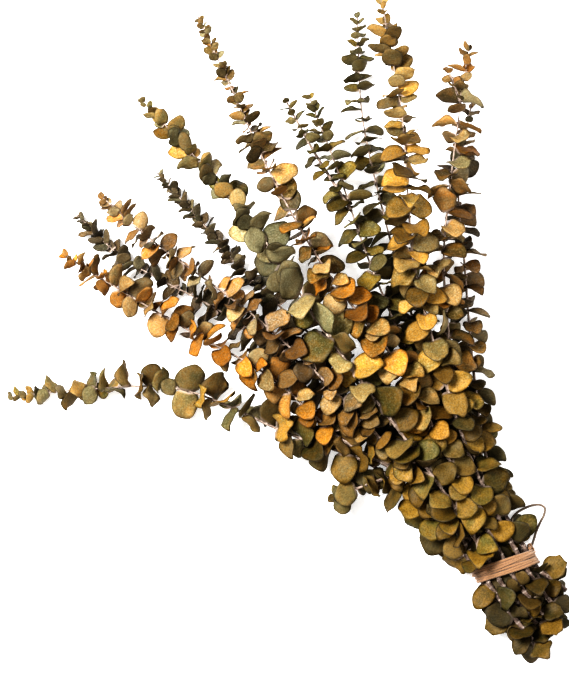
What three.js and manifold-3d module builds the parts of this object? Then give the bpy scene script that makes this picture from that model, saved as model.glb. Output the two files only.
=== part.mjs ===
// A bunch of dried eucalyptus, laid on a surface: twelve leafy stems in a jute tie, with a free loop of
// the same twine. Millimetres. +Y runs along the bound stems from their cut ends to their tips, +Z is up,
// and the origin is the middle of the flat under the tie.

import * as THREE from 'three';
import { mergeVertices } from 'three/addons/utils/BufferGeometryUtils.js';
import Module from 'manifold-3d';

const wasm = await Module();
wasm.setup();
const { Manifold } = wasm;

// The tie: an oval winding of twine, pressed flat where it lies on the surface, its right side slid down
const TIE = {
  innerHalfWidth: 22.5, innerHalfHeight: 15, wall: 3.1, band: 13, turns: 6, groove: 0.7,
  centreZ: 17.2, flatHalfAngle: 16, slant: -0.2, around: 24, color: 0xc89a6c,
};

// The free loop of twine, by its route over the surface
const LOOP = {
  radius: 1, sides: 8, steps: 26, color: 0xb98f68,
  route: [
    [22.45, 1.1, 7.9], [24.8, 1.4, 6.1], [27.3, 2.8, 3.4], [30.8, 5.8, 1.5], [35.2, 9.8, 1.15],
    [40.8, 13.8, 1.15], [45.8, 17.2, 1.15], [48.6, 21.2, 1.15], [46.6, 25.2, 1.15], [41.5, 27.6, 1.15],
    [35, 28.6, 1.15], [28, 28.4, 1.15], [21.5, 25.6, 1.15], [16.6, 20.6, 1.5], [13.8, 14.6, 2.9], [13, 7, 4],
  ],
};

// Stems: thickest at the tie, slender at the tip
const STEM = {
  radius: 1.8, tipRadius: 0.65, cutRadius: 1.7, taper: 1.4, sides: 4, spacing: 40, fullUntil: 110,
};
const SHOOT = { radius: 1.2, tipRadius: 0.7, leavesGrowOver: 0.4 };
const SLOT = { halfWidth: 20.3, halfHeight: 12.8, straight: 12 };

// Leaves: opposite pairs that turn round the stem, small at the tip, alike on all stems below the tie
const LEAF = {
  thickness: 0.9, gap: 0.3, rootDepth: 0.55, tip: 5.5, end: 20, tieClear: 9,
  pitch: 0.88, pitchBase: 10, firstPair: 4, turn: 225, smallest: 11, large: 16, small: 9,
};

// How leaves differ, each a lowest and a highest value
const SPREAD = {
  open: [-14, 14], azimuth: [-16, 16], length: [0.84, 1.08], width: [0.9, 1.08],
  twist: [-20, 20], arch: [-0.04, 0.26], cup: [-0.05, 0.16], face: [0.5, 1.25],
};
const OPEN_AT_TIP = 45;

// Low on the bunch the leaves hang back towards the cut ends, by up to this angle more
const DROOP = { angle: 24, none: 320, full: 160 };
const NARROW_TIP_LEAF = 0.72;

// A leaf that would meet another piece or reach below the surface closes up, swings round and turns
const RETRY = { times: 7, closeBy: 0.13, swing: 14, faceUp: 0.22, lowestReach: -3 };

// Where a blade with this many corners has its pairs of corners, from root to tip
const BLADE_STATIONS = { 4: [0.5], 5: [0.34, 0.9], 6: [0.26, 0.74] };

// Each stem: its slot in the tie (an angle round the oval, or a place inside), its cut end, its longest leaf
// and its leaves' width, how far the blades turn to lie open to the sky, how wide they open from the stem,
// how far from the tip they are full grown, its tint, and the places it passes on its way to its tip
const STEMS = [
  {
    name: 'leafy_stem_01', slot: 178, end: [-17, -44, 17], longest: 20, width: 1.08, face: 0.8,
    open: 78, growOver: 110, color: 0x9c8a3e,
    route: [[-30, 62, 24], [-48, 114, 28], [-90, 166, 27], [-146, 238, 22], [-205, 272, 16], [-262, 298, 12]],
    shoot: { from: 0.33, route: [[-68, 106, 22], [-90, 107, 16]], longest: 18 },
  },
  {
    name: 'leafy_stem_02', slot: [-11.4, 17.4], end: [-9, -56, 14.5], longest: 17, width: 1, face: 0.6,
    open: 98, growOver: 60, color: 0xc1842f,
    route: [[-24, 80, 30], [-58, 143, 38], [-82, 212, 42], [-113, 265, 42], [-152, 334, 38], [-171, 370, 36]],
  },
  {
    name: 'leafy_stem_03', slot: 215, end: [-14, -50, 8.5], longest: 17, width: 0.9, face: 0.4,
    open: 80, growOver: 180, color: 0x5f5a3a,
    route: [[-24, 80, 11], [-50, 190, 12], [-88, 270, 12], [-133, 345, 12], [-148, 392, 11]],
  },
  {
    name: 'leafy_stem_04', slot: 145, end: [-9, -67, 23], longest: 16, width: 0.96, face: 0.6,
    open: 88, growOver: 60, color: 0x94714f,
    route: [[-20, 60, 34], [-32, 125, 48], [-66, 248, 64], [-107, 344, 70], [-124, 393, 70]],
  },
  {
    name: 'leafy_stem_05', slot: 250, end: [-4, -66, 6], longest: 15, width: 0.88, face: 0.4,
    open: 76, growOver: 160, color: 0x4d4430,
    route: [[-12, 90, 11], [-33, 200, 12], [-58, 285, 12], [-69, 342, 12], [-79, 389, 12]],
  },
  {
    name: 'leafy_stem_06', slot: 115, end: [-1, -50, 27], longest: 26, width: 1, face: 0.8,
    open: 80, growOver: 210, color: 0x86823f,
    route: [[-12, 70, 44], [-18, 125, 56], [-29, 215, 68], [-35, 306, 74], [-47, 375, 74], [-62, 440, 72]],
  },
  {
    name: 'leafy_stem_07', slot: 85, end: [7, -56, 28], longest: 19, width: 1, face: 0.75,
    open: 100, growOver: 240, color: 0xc98a2c,
    route: [[3, 80, 44], [6, 166, 58], [-6, 260, 68], [-6, 340, 72], [0, 405, 72], [6, 472, 68]],
  },
  {
    name: 'leafy_stem_08', slot: [2.7, 10.9], end: [5, -62, 13], longest: 18, width: 0.94, face: 0.45,
    open: 92, growOver: 90, color: 0x6e6528,
    route: [[9, 90, 24], [16, 170, 34], [27, 256, 40], [39, 318, 42], [49, 382, 40]],
    shoot: { from: 0.79, route: [[31, 345, 46], [32, 388, 47]], longest: 11 },
  },
  {
    name: 'leafy_stem_09', slot: 285, end: [7, -50, 6], longest: 16, width: 0.9, face: 0.4,
    open: 88, growOver: 80, color: 0x574f2e,
    route: [[12, 80, 11], [30, 180, 12], [57, 286, 12], [78, 350, 12], [113, 418, 12]],
  },
  {
    name: 'leafy_stem_10', slot: 50, end: [17, -46, 25], longest: 20, width: 0.95, face: 0.55,
    open: 100, growOver: 150, color: 0xb38a45,
    route: [[18, 84, 38], [34, 160, 50], [52, 228, 60], [76, 280, 66], [100, 330, 70], [131, 415, 68]],
  },
  {
    name: 'leafy_stem_11', slot: 10, end: [31, -40, 19], longest: 21, width: 1, face: 0.32,
    open: 96, growOver: 60, color: 0xa87432,
    route: [
      [20, 79, 26], [32, 124, 32], [55, 183, 40], [78, 228, 44], [113, 277, 46], [146, 320, 44],
      [172, 353, 40],
    ],
    shoot: { from: 0.9, route: [[149, 346, 50]], longest: 8 },
  },
  {
    name: 'leafy_stem_12', slot: -35, end: [21, -52, 9], longest: 19, width: 0.95, face: 0.32,
    open: 92, growOver: 100, color: 0x6a5230,
    route: [[30, 80, 12], [60, 153, 13], [88, 212, 13], [114, 266, 13], [157, 319, 12]],
  },
];

const UP = new THREE.Vector3(0, 0, 1);
const radians = THREE.MathUtils.degToRad;
const mix = THREE.MathUtils.lerp;

// Seeds are set apart by these steps from stem to stem, to a shoot, from pair to pair and side to side
const SEED = { stem: 1009, shoot: 503, pair: 101, side: 17 };

// A repeatable stream of numbers from 0 to 1
function stream(seed) {
  let state = seed;
  const next = () => {
    state = (state * 16807) % 2147483647;
    return state / 2147483647;
  };
  for (let skipped = 0; skipped < 4; skipped += 1) next();
  return next;
}

function toSolid(geometry) {
  const bare = geometry.clone();
  for (const extra of ['normal', 'uv']) bare.deleteAttribute(extra);
  const joined = mergeVertices(bare, 1e-4);
  return new Manifold(new wasm.Mesh({
    numProp: 3,
    vertProperties: new Float32Array(joined.attributes.position.array),
    triVerts: new Uint32Array(joined.index.array),
  }));
}

function toGeometry(solid) {
  const mesh = solid.getMesh();
  const geometry = new THREE.BufferGeometry();
  geometry.setAttribute('position', new THREE.BufferAttribute(mesh.vertProperties, 3));
  geometry.setIndex(new THREE.BufferAttribute(mesh.triVerts, 1));
  geometry.computeVertexNormals();
  return geometry;
}

function toMesh(name, geometry, color, roughness) {
  const material = new THREE.MeshStandardMaterial({ color, roughness, metalness: 0, flatShading: true });
  const mesh = new THREE.Mesh(geometry, material);
  mesh.name = name;
  return mesh;
}

// The winding: a ridged band swept round the oval, clamped flat under it
function tieGeometry() {
  const { band, turns, groove, wall, around } = TIE;
  const profile = [[-band / 2, 0]];
  for (let ridge = 0; ridge < turns; ridge += 1) {
    const start = -band / 2 + (band * ridge) / turns;
    profile.push([start, wall - groove], [start + band / turns / 2, wall]);
  }
  profile.push([band / 2, wall - groove], [band / 2, 0]);
  const ring = new THREE.LatheGeometry(
    [...profile, profile[0]].map(([along, out]) => new THREE.Vector2(1 + out, along)), around);
  const position = ring.attributes.position;
  for (let i = 0; i < position.count; i += 1) {
    const across = position.getX(i);
    const upward = position.getZ(i);
    const out = Math.hypot(across, upward) - 1;
    const angle = Math.atan2(upward, across);
    const below = Math.abs(angle + Math.PI / 2) < radians(TIE.flatHalfAngle);
    const x = (TIE.innerHalfWidth + out) * Math.cos(angle);
    const z = TIE.centreZ + (TIE.innerHalfHeight + out) * Math.sin(angle);
    position.setXYZ(i, x, position.getY(i) + TIE.slant * x, below && out > wall / 2 ? 0 : Math.max(z, 0));
  }
  return ring;
}

function loopGeometry() {
  const path = new THREE.CatmullRomCurve3(LOOP.route.map((p) => new THREE.Vector3(...p)));
  const section = new THREE.Shape();
  for (let side = 0; side < LOOP.sides; side += 1) {
    const angle = (2 * Math.PI * side) / LOOP.sides;
    const corner = [LOOP.radius * Math.cos(angle), LOOP.radius * Math.sin(angle)];
    if (side === 0) section.moveTo(...corner);
    else section.lineTo(...corner);
  }
  return new THREE.ExtrudeGeometry(section, { extrudePath: path, steps: LOOP.steps, bevelEnabled: false });
}

// Where a stem passes through the tie, as [x, z]
function slotPlace(slot) {
  if (Array.isArray(slot)) return slot;
  const angle = radians(slot);
  return [SLOT.halfWidth * Math.cos(angle), TIE.centreZ + SLOT.halfHeight * Math.sin(angle)];
}

function stemCurve(stem) {
  const [x, z] = slotPlace(stem.slot);
  const through = [-SLOT.straight, 0, SLOT.straight].map((y) => [x, y, z]);
  const points = [stem.end, ...through, ...stem.route];
  return new THREE.CatmullRomCurve3(points.map((p) => new THREE.Vector3(...p)));
}

// A curve that an extrusion steps along at chosen shares of its length
class SteppedCurve extends THREE.Curve {
  constructor(source, marks) {
    super();
    this.source = source;
    this.marks = marks;
  }

  getPoint(t) {
    const place = THREE.MathUtils.clamp(t, 0, 1) * (this.marks.length - 1);
    const index = Math.min(Math.floor(place), this.marks.length - 2);
    return this.source.getPointAt(mix(this.marks[index], this.marks[index + 1], place - index));
  }

  getPointAt(t) {
    return this.getPoint(t);
  }

  getTangentAt(t) {
    return this.getTangent(t);
  }
}

// The share of a stem's length at which it reaches y, near the tie, where y only grows
function shareAtY(curve, y) {
  let low = 0;
  let high = 0.5;
  for (let halving = 0; halving < 24; halving += 1) {
    const middle = (low + high) / 2;
    if (curve.getPointAt(middle).y < y) low = middle;
    else high = middle;
  }
  return low;
}

// Steps at the cut end and both sides of the tie, then even ones out to the tip
function stemMarks(curve) {
  const [before, after] = [-SLOT.straight, SLOT.straight].map((y) => shareAtY(curve, y));
  return [0, before, ...evenMarks(curve, after)];
}

function evenMarks(curve, from) {
  const count = Math.max(1, Math.round(((1 - from) * curve.getLength()) / STEM.spacing));
  return Array.from({ length: count + 1 }, (_, i) => mix(from, 1, i / count));
}

// A tapered stem: a plain extrusion along the curve, drawn in to its radius at each step
function taperedTube(curve, marks, radiusAt) {
  const steps = marks.length - 1;
  const stepped = new SteppedCurve(curve, marks);
  const section = new THREE.Shape();
  for (let side = 0; side < STEM.sides; side += 1) {
    const angle = (2 * Math.PI * side) / STEM.sides;
    if (side === 0) section.moveTo(Math.cos(angle), Math.sin(angle));
    else section.lineTo(Math.cos(angle), Math.sin(angle));
  }
  const tube = new THREE.ExtrudeGeometry(section, { extrudePath: stepped, steps, bevelEnabled: false });
  const centres = stepped.getSpacedPoints(steps);
  const position = tube.attributes.position;
  const vertex = new THREE.Vector3();
  for (let i = 0; i < position.count; i += 1) {
    vertex.fromBufferAttribute(position, i);
    let nearest = 0;
    centres.forEach((centre, at) => {
      if (centre.distanceTo(vertex) < centres[nearest].distanceTo(vertex)) nearest = at;
    });
    vertex.sub(centres[nearest]).multiplyScalar(radiusAt(marks[nearest])).add(centres[nearest]);
    position.setXYZ(i, vertex.x, vertex.y, vertex.z);
  }
  return tube;
}

function stemRadius(length) {
  return (u) => {
    const along = u * length;
    if (along < STEM.fullUntil) return mix(STEM.cutRadius, STEM.radius, along / STEM.fullUntil);
    const left = (length - along) / (length - STEM.fullUntil);
    return mix(STEM.tipRadius, STEM.radius, Math.max(left, 0) ** STEM.taper);
  };
}

// The half-width of a blade at u from root to tip, as a share of its whole width
function outline(u) {
  return 0.5 * Math.sin(Math.PI * u ** 0.85) ** 0.6;
}

// A blade's plan in shares of its length and width, with few corners, the root last
function bladeShape(corners) {
  const stations = BLADE_STATIONS[corners];
  const right = stations.map((u) => [outline(u), u]);
  const left = stations.map((u) => [-outline(u), u]).reverse();
  const tip = corners % 2 === 0 ? [[0, 1]] : [];
  const points = [...right, ...tip, ...left, [0, 0]];
  return new THREE.Shape(points.map(([x, y]) => new THREE.Vector2(x, y)));
}

// A blade on its frame: root, axis, side and face; arched along its length and cupped across it
function leafGeometry(leaf, thickness, grow) {
  const corners = leaf.length > LEAF.large ? 6 : leaf.length > LEAF.small ? 5 : 4;
  const blade = new THREE.ExtrudeGeometry(bladeShape(corners), { depth: 1, bevelEnabled: false });
  const position = blade.attributes.position;
  const side = new THREE.Vector3().crossVectors(leaf.axis, leaf.face);
  const place = new THREE.Vector3();
  for (let i = 0; i < position.count; i += 1) {
    const across = position.getX(i);
    const u = position.getY(i);
    const rise = -leaf.arch * leaf.length * u * u + leaf.cup * leaf.width * 4 * across * across;
    place.copy(leaf.root)
      .addScaledVector(leaf.axis, u * (leaf.length + grow))
      .addScaledVector(side, across * (leaf.width + 2 * grow))
      .addScaledVector(leaf.face, rise);
    place.z = Math.max(place.z, LEAF.thickness / 2);
    place.addScaledVector(leaf.face, (position.getZ(i) - 0.5) * thickness);
    position.setXYZ(i, place.x, place.y, Math.max(place.z, 0));
  }
  return blade;
}

// The ways a leaf may stand, the likeliest first: each next one closes up to the stem, turns its face
// further to the sky and swings round the stem
function leafChoices(plan) {
  const choices = [];
  for (let k = 0; k < RETRY.times; k += 1) {
    const open = radians(plan.open * (1 - RETRY.closeBy * k));
    const angle = radians(plan.azimuth + (k % 2 ? -1 : 1) * Math.ceil(k / 2) * RETRY.swing);
    const right = new THREE.Vector3().crossVectors(plan.along, UP).normalize();
    const above = new THREE.Vector3().crossVectors(right, plan.along);
    const outward = right.multiplyScalar(Math.cos(angle)).addScaledVector(above, Math.sin(angle));
    const root = plan.root.clone().addScaledVector(outward, plan.radius * (1 - LEAF.rootDepth));
    const axis = plan.along.clone().multiplyScalar(Math.cos(open)).addScaledVector(outward, Math.sin(open));
    const natural = plan.along.clone().addScaledVector(axis, -plan.along.dot(axis)).normalize();
    const skyward = UP.clone().addScaledVector(axis, -axis.z).normalize();
    if (natural.dot(skyward) < 0) skyward.negate();
    const turn = Math.atan2(axis.dot(natural.clone().cross(skyward)), natural.dot(skyward));
    const share = Math.min(1, plan.face + RETRY.faceUp * k);
    const face = natural.applyAxisAngle(axis, turn * share + radians(plan.twist));
    choices.push({ ...plan, root, axis, face });
  }
  return choices;
}

// The leaves of one stem or shoot, from its tip down to the tie and on below it
function leafPlans({ curve, stem, longest, growOver, seed, radiusAt }) {
  const length = curve.getLength();
  const plans = [];
  let fromTip = LEAF.firstPair;
  for (let pair = 0; fromTip < length - 2; pair += 1) {
    const u = 1 - fromTip / length;
    const root = curve.getPointAt(u);
    const radius = radiusAt(u);
    const grown = Math.min(1, fromTip / growOver);
    const droop = DROOP.angle * THREE.MathUtils.smoothstep(DROOP.none - root.y, 0, DROOP.none - DROOP.full);
    const size = root.y < 0 ? LEAF.end : mix(LEAF.tip, longest, Math.sin((grown * Math.PI) / 2));
    for (const side of [0, 1]) {
      const next = stream(seed + pair * SEED.pair + side * SEED.side);
      const draw = (range) => mix(range[0], range[1], next());
      const along = curve.getTangentAt(u);
      const open = mix(OPEN_AT_TIP, stem.open, grown) + droop + draw(SPREAD.open);
      const azimuth = seed + pair * LEAF.turn + side * 180 + draw(SPREAD.azimuth);
      const leafLength = size * draw(SPREAD.length);
      const width = leafLength * stem.width * draw(SPREAD.width) * mix(NARROW_TIP_LEAF, 1, grown);
      const twist = draw(SPREAD.twist);
      const arch = draw(SPREAD.arch);
      const cup = draw(SPREAD.cup);
      const face = stem.face * draw(SPREAD.face);
      plans.push({
        root, radius, along, open, azimuth, length: leafLength, width, twist, arch, cup, face, pair,
      });
    }
    fromTip += LEAF.pitch * size + LEAF.pitchBase;
  }
  return plans.filter((plan) => Math.abs(plan.root.y) > LEAF.tieClear
    && (plan.length > LEAF.smallest || plan.pair % 2 === 0));
}

const placed = [];

function boxesMeet(a, b) {
  return [0, 1, 2].every((k) => a.min[k] < b.max[k] && b.min[k] < a.max[k]);
}

function place(solid, owner, blade = false) {
  placed.push({ solid, owner, blade, box: solid.boundingBox() });
}

// A leaf keeps its gap to every other piece, and only stays clear of the other leaves on its own stem
function isClear(solid, blade, owner) {
  const box = solid.boundingBox();
  return placed.every((other) => !boxesMeet(box, other.box)
    || (other.owner === owner && !other.blade)
    || (other.owner === owner ? blade : solid).intersect(other.solid).isEmpty());
}

function growLeaf(plan, owner) {
  for (const leaf of leafChoices(plan)) {
    const raw = leaf.root.z + leaf.axis.z * leaf.length;
    if (raw < RETRY.lowestReach) continue;
    const reach = toSolid(leafGeometry(leaf, LEAF.thickness + 2 * LEAF.gap, LEAF.gap));
    const blade = toSolid(leafGeometry(leaf, LEAF.thickness, 0));
    if (isClear(reach, blade, owner)) {
      place(blade, owner, true);
      return;
    }
  }
}

function largestBody(solid) {
  return solid.decompose().reduce((best, next) => (next.volume() > best.volume() ? next : best));
}

const bunch = new THREE.Group();
bunch.name = 'eucalyptus_bunch';

const tie = tieGeometry();
place(toSolid(tie), 'twine_tie');
const loop = loopGeometry();
place(toSolid(loop), 'twine_loop');

// Stems and their side shoots first, so that every leaf is placed clear of them
const branches = [];
STEMS.forEach((stem, index) => {
  const curve = stemCurve(stem);
  const radiusAt = stemRadius(curve.getLength());
  place(toSolid(taperedTube(curve, stemMarks(curve), radiusAt)), stem.name);
  branches.push({
    stem, curve, radiusAt, longest: stem.longest, growOver: stem.growOver, seed: SEED.stem * (index + 1),
  });
  if (stem.shoot) {
    const start = curve.getPointAt(stem.shoot.from);
    const points = [start, ...stem.shoot.route.map((p) => new THREE.Vector3(...p))];
    const shoot = new THREE.CatmullRomCurve3(points);
    const shootRadius = (u) => mix(SHOOT.radius, SHOOT.tipRadius, u);
    place(toSolid(taperedTube(shoot, evenMarks(shoot, 0), shootRadius)), stem.name);
    branches.push({
      stem,
      curve: shoot,
      radiusAt: shootRadius,
      longest: stem.shoot.longest,
      growOver: SHOOT.leavesGrowOver * shoot.getLength(),
      seed: SEED.stem * (index + 1) + SEED.shoot,
    });
  }
});

for (const branch of branches) {
  for (const plan of leafPlans(branch)) growLeaf(plan, branch.stem.name);
}

for (const stem of STEMS) {
  const pieces = placed.filter((piece) => piece.owner === stem.name).map((piece) => piece.solid);
  const whole = largestBody(Manifold.union(pieces).simplify(0.05));
  bunch.add(toMesh(stem.name, toGeometry(whole), stem.color, 0.75));
}
bunch.add(toMesh('twine_tie', tie, TIE.color, 0.95));
bunch.add(toMesh('twine_loop', loop, LOOP.color, 0.95));

export default bunch;
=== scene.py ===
# Dresses a bunch of dried eucalyptus that lies on a pale floor: the bark and the leaves of its twelve
# stems, the jute tie and its free loop. Places are in millimetres until they become vertices, in metres.

import itertools
import math
from functools import partial

import bmesh
import bpy
import numpy as np
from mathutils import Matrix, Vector
from mathutils.bvhtree import BVHTree


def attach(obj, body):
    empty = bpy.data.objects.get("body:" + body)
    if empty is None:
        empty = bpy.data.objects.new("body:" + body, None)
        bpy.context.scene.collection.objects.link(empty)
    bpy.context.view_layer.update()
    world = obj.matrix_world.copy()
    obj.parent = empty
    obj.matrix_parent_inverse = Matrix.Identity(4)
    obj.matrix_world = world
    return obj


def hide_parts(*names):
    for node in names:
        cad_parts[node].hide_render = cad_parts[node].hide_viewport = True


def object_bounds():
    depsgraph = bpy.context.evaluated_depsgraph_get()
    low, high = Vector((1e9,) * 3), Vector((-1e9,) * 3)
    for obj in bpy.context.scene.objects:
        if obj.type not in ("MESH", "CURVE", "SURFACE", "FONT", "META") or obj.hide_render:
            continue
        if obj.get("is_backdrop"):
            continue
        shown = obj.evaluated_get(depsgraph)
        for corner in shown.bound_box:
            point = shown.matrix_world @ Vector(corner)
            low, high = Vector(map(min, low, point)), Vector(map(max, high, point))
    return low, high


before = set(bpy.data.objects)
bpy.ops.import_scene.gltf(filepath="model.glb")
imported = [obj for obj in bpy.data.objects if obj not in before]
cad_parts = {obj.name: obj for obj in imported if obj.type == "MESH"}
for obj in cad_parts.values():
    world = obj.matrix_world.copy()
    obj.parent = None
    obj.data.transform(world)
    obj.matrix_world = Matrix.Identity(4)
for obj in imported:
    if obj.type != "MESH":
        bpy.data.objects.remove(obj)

bl_info = {
    "name": "Dried Eucalyptus Bunch",
    "version": (1, 0, 0),
    "blender": (4, 5, 0),
    "location": "3D Viewport > Sidebar > Eucalyptus",
    "description": "Bark, leaves and jute twine for a tied bunch of dried eucalyptus",
    "category": "Object",
}

MM = 0.001
UP = np.array((0.0, 0.0, 1.0))

# The tie's oval, inside, with its right side slid down
TIE = {"half_width": 22.5, "half_height": 15, "band": 13, "centre_z": 17.2, "slant": -0.2}

# The free loop's route over the surface, out of the knot and back under the leaves
LOOP_ROUTE = [
    (22.45, 1.1, 7.9), (24.8, 1.4, 6.1), (27.3, 2.8, 3.4), (30.8, 5.8, 1.5), (35.2, 9.8, 1.15),
    (40.8, 13.8, 1.15), (45.8, 17.2, 1.15), (48.6, 21.2, 1.15), (46.6, 25.2, 1.15), (41.5, 27.6, 1.15),
    (35, 28.6, 1.15), (28, 28.4, 1.15), (21.5, 25.6, 1.15), (16.6, 20.6, 1.5), (13.8, 14.6, 2.9), (13, 7, 4),
]

# Stems: thickest at the tie, slender at the tip
STEM = {"radius": 1.8, "tip_radius": 0.65, "cut_radius": 1.7, "taper": 1.4, "full_until": 110}
SHOOT = {"radius": 1.2, "tip_radius": 0.7, "leaves_grow_over": 0.4}
SLOT = {"half_width": 20.3, "half_height": 12.8, "straight": 12}

# Leaves: opposite pairs that turn round the stem, small at the tip, alike on all stems below the tie
LEAF = {
    "root_depth": 0.55, "tip": 5.5, "end": 20, "tie_clear": 9,
    "pitch": 0.88, "pitch_base": 10, "first_pair": 4, "last_pair": 2, "turn": 225,
}
SPREAD = {
    "open": (-14, 14), "azimuth": (-16, 16), "length": (0.84, 1.08), "width": (0.9, 1.08),
    "twist": (-20, 20), "arch": (-0.04, 0.26), "cup": (-0.05, 0.16), "face": (0.5, 1.25),
    "fold": (0.0, 0.26), "wave": (0.01, 0.1),
}
OPEN_AT_TIP = 45
DROOP = {"angle": 24, "none": 320, "full": 160}
NARROW_TIP_LEAF = 0.72
RETRY = {
    "times": 7, "close_by": 0.13, "swing": 14, "face_up": 0.22, "smaller": 0.76, "lowest_reach": -3,
    "highest": 96.3,
}
SEED = {"stem": 1009, "shoot": 503, "pair": 101, "side": 17, "between": 37, "parts": 6}

# What the eye sees of each leaf beyond the plain one: a short point, a broad base with lobes, torn tips from
# this place below the tie, more pairs at the cut ends, the spread of the warm colour, how far leaves between
# the plain pairs turn to the sky, the share of leaves with some bloom, and how gently a stretch of it ends
FINE = {
    "point": 0.05, "broad_base": 0.09, "lobes": 0.1, "torn_below": -14, "torn_share": 0.35,
    "more_at_end": 2, "warm_spread": 1.1, "turned": 0.55, "bloomed": 0.45, "bloom_edge": 20,
}

# Down the bunch, between these distances from the tie, leaves turn olive, lose their bloom and droop, and
# none is longer than this
LOW = {"none": 230, "all": 70, "longest": 20.5, "less_bloom": 0.75, "darker_below_tie": 0.6}

# Painted shade inside the bunch: a leaf with this many others lying over it is fully darkened, and turned a
# duller green
PAINTED_SHADE_UNDER = {"reach": 11, "above": 9, "leaves": 8, "darker": 0.8, "greener": 0.3}

# Each stem as it was cut and tied: slot in the tie, cut end, longest leaf, leaf width, how far the blades lie
# open to the sky, how wide they open, where they are full grown, the finish, how warm its leaves are at the
# tip and at the tie, its route, and its shoot. Some also have the least sizes of their leaves, each with the
# share of the distance from the tip that reaches it, a greatest size, more pairs between the plain ones, how
# far those turn to the sky, and a stretch, from the tip, whose leaves kept their bloom
STEMS = {
    "01": dict(
        slot=178, end=(-17, -44, 17), longest=20, width=1.08, face=0.8, open=78, grow_over=110,
        finish="golden_olive", warm=(0.3, 0.5),
        route=[(-30, 62, 24), (-48, 114, 28), (-90, 166, 27), (-146, 238, 22), (-205, 272, 16),
        (-262, 298, 12)], shoot=dict(at=0.33, route=[(-68, 106, 22), (-90, 107, 16)], longest=18)),
    "02": dict(
        slot=(-11.4, 17.4), end=(-9, -56, 14.5), longest=17, width=1, face=0.6, open=98, grow_over=60,
        finish="orange", warm=(0.8, 0.4), least=[(15, 0.6), (18, 0.12)], more=1,
        route=[(-24, 80, 30), (-58, 143, 38), (-82, 212, 42), (-113, 265, 42), (-152, 334, 38),
        (-171, 370, 36)]),
    "03": dict(
        slot=215, end=(-14, -50, 8.5), longest=17, width=0.9, face=0.4, open=80, grow_over=180,
        finish="umber", warm=(0.2, 0.3), least=[(14, 0.6), (20, 0.14)], more=2,
        route=[(-24, 80, 11), (-50, 190, 12), (-88, 270, 12), (-133, 345, 12), (-148, 392, 11)]),
    "04": dict(
        slot=145, end=(-9, -67, 23), longest=16, width=0.96, face=0.6, open=88, grow_over=60,
        finish="pinkish_brown", warm=(0.75, 0.3), least=[(15, 0.6), (19, 0.12)], more=2,
        route=[(-20, 60, 34), (-32, 125, 48), (-66, 248, 64), (-107, 344, 70), (-124, 393, 70)]),
    "05": dict(
        slot=250, end=(-4, -66, 6), longest=15, width=0.88, face=0.4, open=76, grow_over=160, finish="umber",
        warm=(0.1, 0.2), least=[(10, 0.6), (19, 0.14)], more=2,
        route=[(-12, 90, 11), (-33, 200, 12), (-58, 285, 12), (-69, 342, 12), (-79, 389, 12)]),
    "06": dict(
        slot=115, end=(-1, -50, 27), longest=26, width=1, face=0.8, open=80, grow_over=210,
        finish="golden_olive", warm=(0.25, 0.5), least=[(18, 0.6), (26, 0.17)], more=2, turned=1.3,
        bloom=(120, 185),
        route=[(-12, 70, 44), (-18, 125, 56), (-29, 215, 68), (-35, 306, 74), (-47, 375, 74),
        (-62, 440, 72)]),
    "07": dict(
        slot=85, end=(7, -56, 28), longest=19, width=1, face=0.75, open=100, grow_over=240, finish="orange",
        warm=(-0.1, 0.8), least=[(20, 0.15)], more=2,
        route=[(3, 80, 44), (6, 166, 58), (-6, 260, 68), (-6, 340, 72), (0, 405, 72), (6, 472, 68)]),
    "08": dict(
        slot=(2.7, 10.9), end=(5, -62, 13), longest=18, width=0.94, face=0.45, open=92, grow_over=90,
        finish="olive", warm=(0.4, 0.3), least=[(19, 0.15)],
        route=[(9, 90, 24), (16, 170, 34), (27, 256, 40), (39, 318, 42), (49, 382, 40)], shoot=dict(at=0.79,
        route=[(31, 345, 46), (32, 388, 47)], longest=11)),
    "09": dict(
        slot=285, end=(7, -50, 6), longest=16, width=0.9, face=0.4, open=88, grow_over=80, finish="olive",
        warm=(0.3, 0.2), least=[(19, 0.12)],
        route=[(12, 80, 11), (30, 180, 12), (57, 286, 12), (78, 350, 12), (113, 418, 12)]),
    "10": dict(
        slot=50, end=(17, -46, 25), longest=20, width=0.95, face=0.55, open=100, grow_over=150, finish="tan",
        warm=(0.75, 0.45), least=[(18, 0.6)], more=1,
        route=[(18, 84, 38), (34, 160, 50), (52, 228, 60), (76, 280, 66), (100, 330, 70), (131, 415, 68)]),
    "11": dict(
        slot=10, end=(31, -40, 19), longest=21, width=1, face=0.32, open=96, grow_over=60, finish="orange",
        warm=(0.4, 0.2), most=19,
        route=[(20, 79, 26), (32, 124, 32), (55, 183, 40), (78, 228, 44), (113, 277, 46), (146, 320, 44),
        (172, 353, 40)], shoot=dict(at=0.9, route=[(149, 346, 50)], longest=8)),
    "12": dict(
        slot=-35, end=(21, -52, 9), longest=19, width=0.95, face=0.32, open=92, grow_over=100,
        finish="pinkish_brown", warm=(0.4, 0.2), most=16,
        route=[(30, 80, 12), (60, 153, 13), (88, 212, 13), (114, 266, 13), (157, 319, 12)]),
}

# The warm, pale and dark colours of each foliage finish beside its main one, which is a property. Low on the
# bunch every stem's leaves are alike, with one main and one warm colour
FINISH = {
    "golden_olive": ("#B68A42", "#AEA77F", "#2B2713"), "orange": ("#D4923A", "#CBB083", "#33240F"),
    "umber": ("#7E6643", "#A0957F", "#1E1912"), "pinkish_brown": ("#BB8B4C", "#BAAD9B", "#261F17"),
    "olive": ("#937A3A", "#97936F", "#1F1D0D"), "tan": ("#C69A50", "#B9B08A", "#2F2711"),
}
LOW_FINISH = ("#655D2F", "#9B7B38")


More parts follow.
